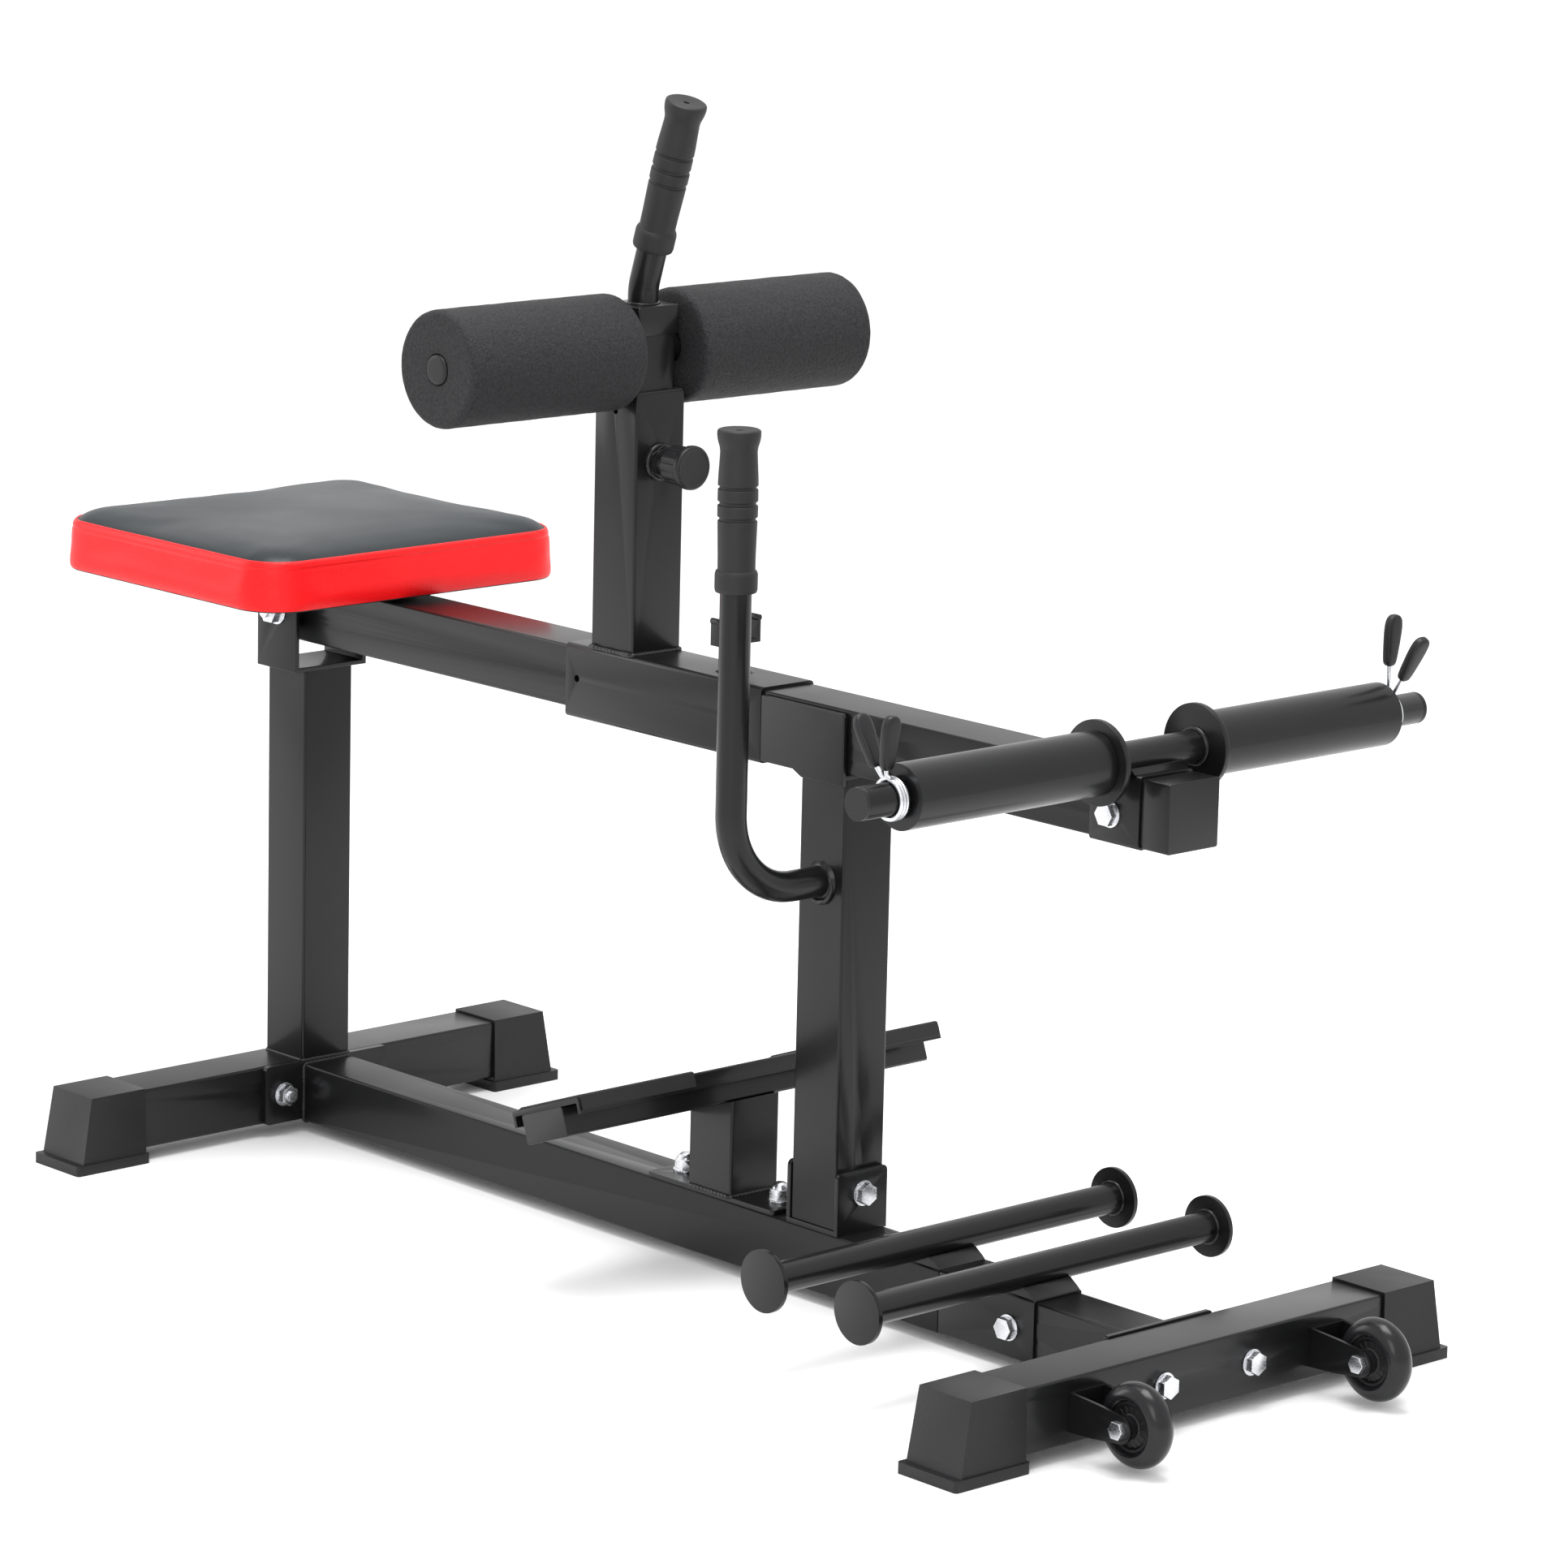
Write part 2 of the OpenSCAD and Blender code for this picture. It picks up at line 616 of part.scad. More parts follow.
// Spring collars clipped on the bar's ends, outside the adapters
collar_y = adapter_y + adapter_len + 4;
wire_r = 2;
wire_pitch = 3.8;
collar_r = horn_r + wire_r + 0.3;
// Where each grip starts, from the bar's centre along X and Z, and how far it leans, in degrees
left_grips = [[20, 31, 30], [-1.5, 38, 5]];
right_grips = [[-20.5, 20.5, -28], [-1.5, 22.5, 7]];
module collar_arm_frame(side, arm)
    translate([horn_x, side * (collar_y + 2 * arm * wire_pitch), horn_z]) children();
module arm_wire(grip) rotate([0, atan2(grip[0], grip[1]), 0]) translate([0, 0, collar_r - 1])
    cylinder(h = norm([grip[0], grip[1]]) - collar_r + 6, r = wire_r - 0.1, $fn = 24);
module collar(side, grips) color(zinc) place() {
    for (k = [0:2]) translate([horn_x, side * (collar_y + k * wire_pitch), horn_z]) along_y()
        rotate_extrude() translate([collar_r, 0]) circle(wire_r, $fn = 16);
    for (arm = [0, 1]) collar_arm_frame(side, arm) arm_wire(grips[arm]);
}
// Flat moulded grips on the collar's wire ends
module collar_grips(side, grips) color(rubber) place() for (arm = [0, 1])
    collar_arm_frame(side, arm) difference() {
    translate([grips[arm][0], 0, grips[arm][1]]) rotate([0, grips[arm][2], 0]) rotate([90, 0, 90])
        linear_extrude(8.5, center = true) {
            translate([-8, 0]) square([16, 32]);
            translate([0, 32]) circle(8);
        }
    arm_wire(grips[arm]);
}
module collar_left() collar(1, left_grips);
module collar_right() collar(-1, right_grips);
module collar_grips_left() collar_grips(1, left_grips);
module collar_grips_right() collar_grips(-1, right_grips);

// ---- knee-pad post ----

inner_low = 500;
cap_low = 755;
cap_top = 779;
cap_size = 44;
module post_inner_tube() color(steel) place() difference() {
    translate([post_x, 0, inner_low]) tube_up(cap_top - 3 - inner_low, inner_size, 2.5, 3);
    translate([post_x, 0, roller_z]) along_y() cylinder(h = 2 * tube, r = handle_r, center = true);
    for (k = [0:6]) translate([post_x, 0, pin_z - k * pin_pitch]) along_x()
        cylinder(h = tube, r = bolt_r + 0.4);
}
module post_cap() color(steel) place() translate([post_x, 0, cap_low]) {
    linear_extrude(cap_top - 3 - cap_low) tube_section(cap_size, cap_size, (cap_size - inner_size) / 2, 3);
    translate([0, 0, cap_top - 3 - cap_low]) linear_extrude(3) round_rect(cap_size, cap_size, 3);
}
roller_in = 31;
roller_out = 215;
module roller_axle() color(steel) place() translate([post_x, 0, roller_z]) along_y()
    cylinder(h = 2 * (roller_out - 8), r = handle_r, center = true);
module roller_plugs() color(rubber) place() for (s = sides)
    translate([post_x, s * (roller_out - 8), roller_z]) rotate([-90 * s, 0, 0])
        cylinder(h = 8.5, r = handle_r);

handle_bend = 13;
handle_lean = 17.4;
grip_start = 34.5;
module top_handle() color(steel) place() translate([post_x + 1.5, 0, cap_top]) {
    cylinder(h = handle_bend, r = handle_r);
    translate([0, 0, handle_bend]) sphere(handle_r);
    handle_tip() cylinder(h = grip_start + grip_bore, r = handle_r);
}
// Frame at the handle's bend, leaning away from the seat
module handle_tip() translate([0, 0, handle_bend]) rotate([0, handle_lean, 0]) children();
module top_handle_grip() color(rubber) place() translate([post_x + 1.5, 0, cap_top])
    handle_tip() translate([0, 0, grip_start]) hand_grip();

module foam_roller(side) color(rubber) place() translate([post_x, side * roller_in, roller_z])
    rotate([-90 * side, 0, 0]) rotate_extrude() {
        edge = 12;
        inner = handle_r + running;
        length = roller_out - roller_in;
        translate([inner, 0]) square([roller_r - edge - inner, length]);
        translate([inner, edge]) square([roller_r - inner, length - 2 * edge]);
        for (y = [edge, length - edge]) translate([roller_r - edge, y]) circle(edge);
    }
module roller_left() foam_roller(1);
module roller_right() foam_roller(-1);

// ---- pull pin ----

housing_len = 14;
pin_tip = post_x + inner_size / 2 - 12;
knob_back = post_x + half + housing_len + 0.3;
knob_len = 28;
module pin_housing() color(steel) place() translate([post_x + half, 0, pin_z]) along_x() difference() {
    union() {
        cylinder(h = 5, r = 14.5, $fn = 6);
        cylinder(h = housing_len, r = 11);
    }
    translate([0, 0, -1]) cylinder(h = housing_len + 2, r = bolt_r + running);
}
module pull_pin() color(zinc) place() translate([pin_tip, 0, pin_z]) along_x() {
    cylinder(h = knob_back - pin_tip, r = bolt_r);
    cylinder(h = knob_back - pin_tip + knob_len - 6, r = 3.5);
}
module pull_knob() color(rubber) place() translate([knob_back, 0, pin_z]) along_x() difference() {
    union() {
        cylinder(h = knob_len, r = 16.6);
        translate([0, 0, knob_len - 5]) cylinder(h = 5, r = 18);
        for (k = [0:15]) rotate(k * 22.5) translate([16.4, 0, 1])
            cylinder(h = knob_len - 5, r = 1.5, $fn = 16);
    }
    translate([0, 0, -1]) cylinder(h = knob_len - 4.9, r = 3.5 + running);
}

rear_cross_tube();
rear_feet();
front_feet();
rear_upright();
pivot_bracket();
pivot_bolt();
base_beam();
joining_sleeve();
band_pegs();
stub_tube();
front_cross_tube();
frame_bolts();
wheel_forks();
wheel_bolts();
wheel_tyre_left();
wheel_tyre_right();
wheel_hub_left();
wheel_hub_right();
upright_bracket();
front_upright();
lever_saddle();
grab_handle();
grab_handle_grip();
foot_post();
foot_post_bolts();
foot_beam();
foot_plate();
foot_treads();
lever_beam();
lever_front_cap();
lever_rear_plug();
lever_bushings();
post_clamp();
post_outer_tube();
post_bush();
bar_cradle();
seat_plate();
seat_board();
seat_cushion();
lever_bolts();
horn_clamp();
weight_bar();
weight_bar_plugs();
pin_housing();
post_inner_tube();
post_cap();
roller_axle();
roller_plugs();
top_handle();
top_handle_grip();
roller_left();
roller_right();
pull_pin();
pull_knob();
plate_adapter_left();
plate_adapter_right();
collar_left();
collar_right();
collar_grips_left();
collar_grips_right();
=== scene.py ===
import bpy, bmesh, json, math
from mathutils import Matrix, Vector, noise
from mathutils.bvhtree import BVHTree


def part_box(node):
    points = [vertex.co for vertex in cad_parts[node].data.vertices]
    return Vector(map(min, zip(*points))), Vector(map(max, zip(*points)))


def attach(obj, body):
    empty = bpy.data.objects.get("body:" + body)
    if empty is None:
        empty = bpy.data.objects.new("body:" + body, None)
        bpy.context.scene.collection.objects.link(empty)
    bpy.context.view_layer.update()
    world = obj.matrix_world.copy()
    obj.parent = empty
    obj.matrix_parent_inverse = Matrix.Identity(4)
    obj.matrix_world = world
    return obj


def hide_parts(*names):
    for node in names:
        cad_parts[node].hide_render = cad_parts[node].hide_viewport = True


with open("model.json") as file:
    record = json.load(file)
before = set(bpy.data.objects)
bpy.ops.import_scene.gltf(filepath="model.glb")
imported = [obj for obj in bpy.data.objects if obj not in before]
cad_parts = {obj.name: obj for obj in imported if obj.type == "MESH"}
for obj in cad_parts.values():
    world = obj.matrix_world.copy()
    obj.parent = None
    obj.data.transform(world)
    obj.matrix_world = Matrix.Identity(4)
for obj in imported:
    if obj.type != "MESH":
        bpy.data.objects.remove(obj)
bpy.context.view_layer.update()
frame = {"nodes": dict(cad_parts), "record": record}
nodes = frame["nodes"]
coll = bpy.context.scene.collection
mm = 0.001
# The rear cross tube's front face, from which the machine was measured
rear_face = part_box("rear_cross_tube")[1][0]
# Most of a noise pattern lies between these two values
noise_low, noise_high = 0.3, 0.7
# A rectangle's corners in order: the signs of x and y, and the quarter turn each arc starts at
corners = ((1, 1, 0), (-1, 1, 1), (-1, -1, 2), (1, -1, 3))


# ---------------------------------------------------------------- materials

class Mat:
    """A small helper that builds one procedural material."""

    def __init__(self, name):
        self.m = bpy.data.materials.new(name)
        self.m.use_nodes = True
        self.t = self.m.node_tree
        self.b = self.t.nodes["Principled BSDF"]
        self.coord = self.t.nodes.new("ShaderNodeTexCoord").outputs["Object"]

    def node(self, kind, **props):
        n = self.t.nodes.new(kind)
        for k, v in props.items():
            if k in n.inputs:
                n.inputs[k].default_value = v
            else:
                setattr(n, k, v)
        return n

    def link(self, a, b):
        self.t.links.new(a, b)

    def noise(self, scale, detail=3.0, rough=0.5, stretch=None):
        n = self.node("ShaderNodeTexNoise", Scale=scale, Detail=detail, Roughness=rough)
        if stretch:
            p = self.node("ShaderNodeMapping")
            p.inputs["Scale"].default_value = stretch
            self.link(self.coord, p.inputs["Vector"])
            self.link(p.outputs[0], n.inputs["Vector"])
        else:
            self.link(self.coord, n.inputs["Vector"])
        return n.outputs["Fac"]

    def voronoi(self, scale, feature="F1"):
        n = self.node("ShaderNodeTexVoronoi", Scale=scale, feature=feature)
        self.link(self.coord, n.inputs["Vector"])
        return n.outputs["Distance"]

    def ramp(self, fac, stops):
        r = self.node("ShaderNodeValToRGB")
        e = r.color_ramp.elements
        while len(e) < len(stops):
            e.new(0.5)
        for i, (p, c) in enumerate(stops):
            e[i].position = p
            e[i].color = (c, c, c, 1) if isinstance(c, (int, float)) else (*c, 1)
        self.link(fac, r.inputs["Fac"])
        return r.outputs["Color"]

    def blend(self, fac, dark, light):
        return self.ramp(fac, [(noise_low, dark), (noise_high, light)])

    def remap(self, fac, low, high):
        n = self.node("ShaderNodeMapRange")
        for k, v in (("From Min", noise_low), ("From Max", noise_high),
                     ("To Min", low), ("To Max", high)):
            n.inputs[k].default_value = v
        self.link(fac, n.inputs["Value"])
        return n.outputs["Result"]

    def math(self, op, a, b=None, value=0.0):
        n = self.node("ShaderNodeMath", operation=op)
        self.link(a, n.inputs[0])
        if b is not None:
            self.link(b, n.inputs[1])
        else:
            n.inputs[1].default_value = value
        return n.outputs[0]

    def bump(self, height, strength, distance):
        n = self.node("ShaderNodeBump", Strength=strength, Distance=distance)
        self.link(height, n.inputs["Height"])
        return n.outputs["Normal"]

    def set(self, **values):
        for k, v in values.items():
            self.b.inputs[k.replace("_", " ")].default_value = v

    def wire(self, socket, out):
        self.link(out, self.b.inputs[socket])


def scaled(tint, by):
    return [c * by for c in tint]


def powder_coat(name, tint, rough=(0.33, 0.42)):
    m = Mat(name)
    grain = m.noise(1500, 2)
    cloud = m.noise(9, 4)
    m.wire("Base Color", m.blend(cloud, scaled(tint, 0.9), scaled(tint, 1.12)))
    m.wire("Roughness", m.remap(cloud, *rough))
    m.wire("Normal", m.bump(grain, 0.10, 0.0002))
    m.set(Metallic=0.0, Specular_IOR_Level=0.16, Coat_Weight=0.30, Coat_Roughness=0.17)
    return m.m


def zinc(name):
    m = Mat(name)
    brushed = m.noise(220, 3, 0.6, (1, 1, 6))
    cloud = m.noise(60, 3)
    m.wire("Base Color", m.blend(cloud, (0.56, 0.57, 0.60), (0.74, 0.75, 0.77)))
    m.wire("Roughness", m.remap(brushed, 0.20, 0.36))
    m.wire("Normal", m.bump(brushed, 0.06, 0.0003))
    m.set(Metallic=1.0)
    return m.m


def moulded(name, tint, rough, grain_scale=900, strength=0.25):
    m = Mat(name)
    g = m.voronoi(grain_scale, "SMOOTH_F1")
    cloud = m.noise(14, 3)
    m.wire("Base Color", m.blend(cloud, scaled(tint, 0.85), scaled(tint, 1.15)))
    m.wire("Roughness", m.remap(cloud, rough - 0.04, rough + 0.05))
    m.wire("Normal", m.bump(g, strength, 0.0004))
    m.set(Specular_IOR_Level=0.30)
    return m.m


def foam(name):
    m = Mat(name)
    pits = m.voronoi(520, "F1")
    fine = m.noise(900, 4, 0.65)
    worm = m.noise(420, 5, 0.62)
    height = m.math("ADD", m.math("MULTIPLY", worm, value=0.9),
                    m.math("MULTIPLY", fine, value=0.35))
    height = m.math("ADD", height, m.math("MULTIPLY", pits, value=0.5))
    m.wire("Base Color", m.ramp(worm, [(0.36, (0.004, 0.004, 0.005)), (0.62, (0.016, 0.016, 0.018))]))
    m.wire("Roughness", m.remap(fine, 0.60, 0.85))
    m.wire("Normal", m.bump(height, 0.8, 0.0013))
    m.set(Specular_IOR_Level=0.35)
    return m.m


def vinyl(name, dark, light, rough, gloss):
    m = Mat(name)
    cell = m.voronoi(420, "DISTANCE_TO_EDGE")
    fine = m.noise(700, 3)
    cloud = m.noise(7, 3)
    edge = m.ramp(cell, [(0.0, 0.0), (0.16, 1.0)])
    height = m.math("ADD", m.math("MULTIPLY", edge, value=0.7),
                    m.math("MULTIPLY", fine, value=0.4))
    m.wire("Base Color", m.blend(cloud, dark, light))
    m.wire("Roughness", m.remap(cloud, rough - 0.05, rough + 0.05))
    m.wire("Normal", m.bump(height, 0.22, 0.0005))
    m.set(Specular_IOR_Level=gloss)
    return m.m


def plywood(name):
    m = Mat(name)
    grain = m.noise(60, 5, 0.6, (1, 14, 1))
    m.wire("Base Color", m.blend(grain, (0.32, 0.21, 0.11), (0.52, 0.38, 0.22)))
    m.wire("Roughness", m.remap(grain, 0.6, 0.75))
    m.wire("Normal", m.bump(grain, 0.2, 0.0005))
    return m.m


PAINT = powder_coat("black_powder_coat", (0.0042, 0.0043, 0.0047))
# The welds carry the frame's own black powder coat: this copy's lighter tint is painted highlight,
# standing in for the glints that the bead catches
WELD_PAINTED_HIGHLIGHT = powder_coat("weld_coat_painted_highlight", (0.011, 0.011, 0.012), (0.22, 0.32))
ZINC = zinc("zinc_plate")
PLASTIC = moulded("black_plastic", (0.008, 0.008, 0.009), 0.42)
RUBBER = moulded("black_rubber", (0.012, 0.012, 0.013), 0.52, 1300, 0.2)
TYRE = moulded("wheel_plastic", (0.009, 0.009, 0.010), 0.22, 500, 0.05)
FOAM = foam("foam_skin")
RED = vinyl("red_vinyl", (0.70, 0.004, 0.006), (0.78, 0.006, 0.008), 0.36, gloss=0.24)
BLACK_VINYL = vinyl("black_vinyl", (0.006, 0.010, 0.012), (0.009, 0.014, 0.017), 0.40,
                    gloss=0.36)
UNDER = moulded("seat_underside", (0.012, 0.012, 0.012), 0.8, 1600, 0.5)
PLY = plywood("plywood")

by_slot = {"black_paint": PAINT, "zinc": ZINC, "black_plastic": PLASTIC, "rubber": RUBBER,
           "foam": FOAM, "upholstery": BLACK_VINYL, "plywood": PLY}
for sub in frame["record"]["subparts"]:
    o = nodes[sub["node"]]
    for s in o.material_slots:
        s.material = by_slot[sub["material_slot"]]


# ---------------------------------------------------------------- camera, light, floor

def camera():
    az, el, roll = (math.radians(v) for v in (47.23, 12.06, 1.35))
    distance = 5.0503
    back = Vector((math.sin(az) * math.cos(el), -math.cos(az) * math.cos(el), math.sin(el)))
    right = Vector((math.cos(az), math.sin(az), 0))
    up = right.cross(-back)
    r = right * math.cos(roll) + up * math.sin(roll)
    u = -right * math.sin(roll) + up * math.cos(roll)
    target = Vector((rear_face + 0.5730, 0.0162, 0.4061))
    data = bpy.data.cameras.new("camera")
    data.sensor_width = 36
    data.lens = 143.70
    data.clip_end = 60
    cam = bpy.data.objects.new("camera", data)
    cam.matrix_world = Matrix((
        (r.x, u.x, back.x, 0), (r.y, u.y, back.y, 0), (r.z, u.z, back.z, 0), (0, 0, 0, 1)))
    cam.location = target + back * distance
    coll.objects.link(cam)
    bpy.context.scene.camera = cam


def area(name, location, target, size, power, size_y=None):
    data = bpy.data.lights.new(name, "AREA")
    data.energy = power
    data.size = size
    if size_y:
        data.shape = "RECTANGLE"
        data.size_y = size_y
    o = bpy.data.objects.new(name, data)
    o.location = location
    o.rotation_euler = (Vector(target) - Vector(location)).to_track_quat("-Z", "Y").to_euler()
    coll.objects.link(o)


def stage():
    me = bpy.data.meshes.new("floor")
    reach = 30
    me.from_pydata([(-reach, -reach, 0), (reach, -reach, 0), (reach, reach, 0),
                    (-reach, reach, 0)], [], [(0, 1, 2, 3)])
    floor = bpy.data.objects.new("floor", me)
    coll.objects.link(floor)
    m = Mat("floor_white")
    m.wire("Base Color", m.blend(m.noise(3, 2), 0.90, 0.93))
    m.wire("Roughness", m.remap(m.noise(8, 2), 0.55, 0.65))
    me.materials.append(m.m)
    scene = bpy.context.scene
    scene.view_settings.view_transform = "Standard"
    world = scene.world or bpy.data.worlds.new("world")
    scene.world = world
    world.use_nodes = True
    tree = world.node_tree
    bg = tree.nodes.get("Background") or tree.nodes.new("ShaderNodeBackground")
    # White all round, so that level faces catch the horizon and the floor stays white
    bg.inputs["Strength"].default_value = 1.12
    bg.inputs["Color"].default_value = (1, 1, 1, 1)
    area("top", (0.3, -0.2, 3.2), (0, 0, 0.3), 1.8, 95)
    area("key", (2.6, -3.4, 2.4), (0, 0, 0.4), 1.6, 40, 2.4)
    area("left", (-3.4, -2.4, 1.8), (0, 0, 0.4), 1.2, 30, 2.4)


# ---------------------------------------------------------------- mesh helpers

def make(name, verts, faces, mat, body, replaced):
    me = bpy.data.meshes.new(name)
    me.from_pydata([tuple(v) for v in verts], [], faces)
    me.validate()
    bm = bmesh.new()
    bm.from_mesh(me)
    bmesh.ops.recalc_face_normals(bm, faces=bm.faces)
    for f in bm.faces:
        f.smooth = True
    bm.to_mesh(me)
    bm.free()
    o = bpy.data.objects.new(name, me)
    coll.objects.link(o)
    for m in (mat if isinstance(mat, (list, tuple)) else [mat]):
        me.materials.append(m)
    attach(o, body)
    if replaced:
        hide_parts(*replaced)
    return o


def sharp(o, angle):
    """Keeps edges steeper than the angle crisp."""
    o.data.set_sharp_from_angle(angle=math.radians(angle))


def axes(along, up=(0, 0, 1)):
    z = Vector(along).normalized()
    x = Vector(up) - z * Vector(up).dot(z)
    if x.length < 1e-4:
        x = Vector((1, 0, 0)) - z * z.x
    x.normalize()
    return x, z.cross(x), z


def revolve(profile, origin, along, segments, shape=None):
    """Vertices and faces of a profile of (radius, height) points turned about an axis.

    shape(angle, i) scales the radius of the profile's point i.
    """
    x, y, z = axes(along)
    origin = Vector(origin)
    verts, faces, rings = [], [], []
    for i, (r, h) in enumerate(profile):
        if r < 1e-7:
            rings.append([len(verts)])
            verts.append(origin + z * h)
            continue
        ring = []
        for k in range(segments):
            a = 2 * math.pi * k / segments
            s = r * (shape(a, i) if shape else 1)
            ring.append(len(verts))
            verts.append(origin + x * (s * math.cos(a)) + y * (s * math.sin(a)) + z * h)
        rings.append(ring)
    for a, b in zip(rings, rings[1:]):
        if len(a) == 1 and len(b) == 1:
            continue
        for k in range(segments):
            n = (k + 1) % segments
            if len(a) == 1:
                faces.append((a[0], b[n], b[k]))
            elif len(b) == 1:
                faces.append((a[k], a[n], b[0]))
            else:
                faces.append((a[k], a[n], b[n], b[k]))
    return verts, faces


def round_profile(points, radius, steps=4):
    """Rounds the inner corners of an open profile; each point is (r, h) or (r, h, own radius)."""
    out = [tuple(points[0][:2])]
    for p, q, s in zip(points, points[1:], points[2:]):
        rad = q[2] if len(q) > 2 else radius
        a, b, c = (Vector(v[:2]) for v in (p, q, s))
        d1, d2 = (a - b), (c - b)
        cut = min(rad, d1.length * 0.45, d2.length * 0.45)
        if cut < 1e-7:
            out.append(tuple(b))
            continue
        u, v = b + d1.normalized() * cut, b + d2.normalized() * cut
        for k in range(steps + 1):
            t = k / steps
            out.append(tuple(u * (1 - t) ** 2 + b * 2 * t * (1 - t) + v * t * t))
    out.append(tuple(points[-1][:2]))
    return out


def scale_mm(points):
    return [tuple(c * mm for c in p) for p in points]


def lathe(name, points, origin, along, mat, body, radius, segments, replaced):
    """A turned piece from a profile in mm, with its corners rounded to the radius."""
    profile = round_profile(scale_mm(points), radius * mm)
    v, f = revolve(profile, origin, along, segments)
    return make(name, v, f, mat, body, replaced)


def skin(count, n, closed=False):
    """Faces from each of count rings of n points to the next one."""
    faces = []
    for i in range(count if closed else count - 1):
        j = (i + 1) % count
        for k in range(n):
            w = (k + 1) % n
            faces.append((i * n + k, i * n + w, j * n + w, j * n + k))
    return faces


def sweep(points, radius, n, closed=False):
    """Vertices and faces of a round tube along points; radius may be a list."""
    pts = [Vector(p) for p in points]
    m = len(pts)
    rad = radius if isinstance(radius, (list, tuple)) else [radius] * m
    verts = []
    x = None
    for i, p in enumerate(pts):
        a = pts[i - 1] if i or closed else pts[0]
        b = pts[(i + 1) % m] if i < m - 1 or closed else pts[-1]
        t = (b - a).normalized()
        if x is None:
            x = axes(t, (0.3, 0.2, 1))[0]
        x = (x - t * x.dot(t)).normalized()
        y = t.cross(x)
        for k in range(n):
            w = 2 * math.pi * k / n
            verts.append(p + (x * math.cos(w) + y * math.sin(w)) * rad[i])
    faces = skin(m, n, closed)
    if not closed:
        for i in (0, m - 1):
            c = len(verts)
            verts.append(pts[i])
            for k in range(n):
                a, b = i * n + k, i * n + (k + 1) % n
                faces.append((c, b, a) if i == 0 else (c, a, b))
    return verts, faces


def merge(parts):
    verts, faces = [], []
    for v, f in parts:
        k = len(verts)
        verts += list(v)
        faces += [tuple(i + k for i in q) for q in f]
    return verts, faces


def bead(points, size, closed=False):
    """A weld bead of a radius in mm along points, with the ripples of the weld pool."""
    spacing, ripple_length = 0.0011, 0.0042
    pts = [Vector(p) for p in points]
    if closed:
        pts = pts + [pts[0]]
    fine, run = [], 0.0
    for a, b in zip(pts, pts[1:]):
        d = (b - a).length
        k = max(1, int(d / spacing))
        for i in range(k):
            fine.append((a.lerp(b, i / k), run + d * i / k))
        run += d
    if not closed:
        fine.append((pts[-1], run))
    rad = []
    for p, s in fine:
        ripple = abs(math.sin(math.pi * s / ripple_length))
        rad.append(size * mm * (0.80 + 0.22 * ripple + 0.22 * noise.noise(p * 90)))
    return sweep([p for p, s in fine], rad, 10, closed)


def ring_points(origin, along, r):
    x, y, z = axes(along)
    n = 48
    turns = [2 * math.pi * k / n for k in range(n)]
    return [Vector(origin) + (x * math.cos(w) + y * math.sin(w)) * r for w in turns]


def box(node):
    """The lowest and the highest corner of the CAD node's box."""
    lo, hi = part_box(node)
    return Vector(lo), Vector(hi)


def centre(node):
    lo, hi = box(node)
    return (lo + hi) / 2


def hand(side):
    return "left" if side > 0 else "right"


# ---------------------------------------------------------------- crisp parts with eased edges

def eased(node, body, width):
    """The CAD node with its sharp edges rounded by a width in mm, so that they catch the light."""
    tiny = 2e-6
    src = nodes[node]
    me = src.data.copy()
    me.name = node + "_eased"
    bm = bmesh.new()
    bm.from_mesh(me)
    bmesh.ops.remove_doubles(bm, verts=bm.verts, dist=tiny)
    bmesh.ops.dissolve_limit(bm, angle_limit=math.radians(0.6), verts=bm.verts, edges=bm.edges)
    bmesh.ops.dissolve_degenerate(bm, dist=tiny, edges=bm.edges)
    for f in bm.faces:
        f.smooth = True
    bm.to_mesh(me)
    bm.free()
    o = bpy.data.objects.new(node + "_eased", me)
    coll.objects.link(o)
    mod = o.modifiers.new("ease", "BEVEL")
    mod.width = width * mm
    mod.segments = 3
    mod.limit_method = "ANGLE"
    mod.angle_limit = math.radians(32)
    mod.harden_normals = True
    mod.use_clamp_overlap = True
    me.materials.clear()
    me.materials.append(src.material_slots[0].material)
    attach(o, body)
    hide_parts(node)


bodies_of = {n: b for b, names in frame["record"]["behaviour"]["bodies"].items() for n in names}
# How far each node's edges are rounded, in mm
edge_widths = {
    "rear_feet": 0.9, "front_feet": 0.9, "pivot_bracket": 0.6, "base_beam": 0.5,
    "joining_sleeve": 0.4, "stub_tube": 0.5, "rear_cross_tube": 0.4, "front_cross_tube": 0.4,
    "rear_upright": 0.4, "band_pegs": 0.6, "wheel_forks": 0.5, "upright_bracket": 0.7,
    "front_upright": 0.4, "lever_saddle": 0.8, "foot_post": 0.6, "foot_beam": 0.4,
    "foot_plate": 0.5, "lever_beam": 0.4, "lever_front_cap": 0.8, "post_clamp": 0.8,
    "post_outer_tube": 0.4, "bar_cradle": 0.5, "seat_plate": 0.5, "horn_clamp": 0.8,
    "weight_bar": 0.5, "post_inner_tube": 0.4, "post_cap": 0.9, "pin_housing": 0.5,
    "frame_bolts": 0.5, "pivot_bolt": 0.5, "lever_bolts": 0.4, "foot_post_bolts": 0.5,
    "wheel_bolts": 0.4}
for n, w in edge_widths.items():
    eased(n, bodies_of[n], w)


# ---------------------------------------------------------------- seat

# The seat's materials, in order
UNDERSIDE, BAND, TOP = 0, 1, 2


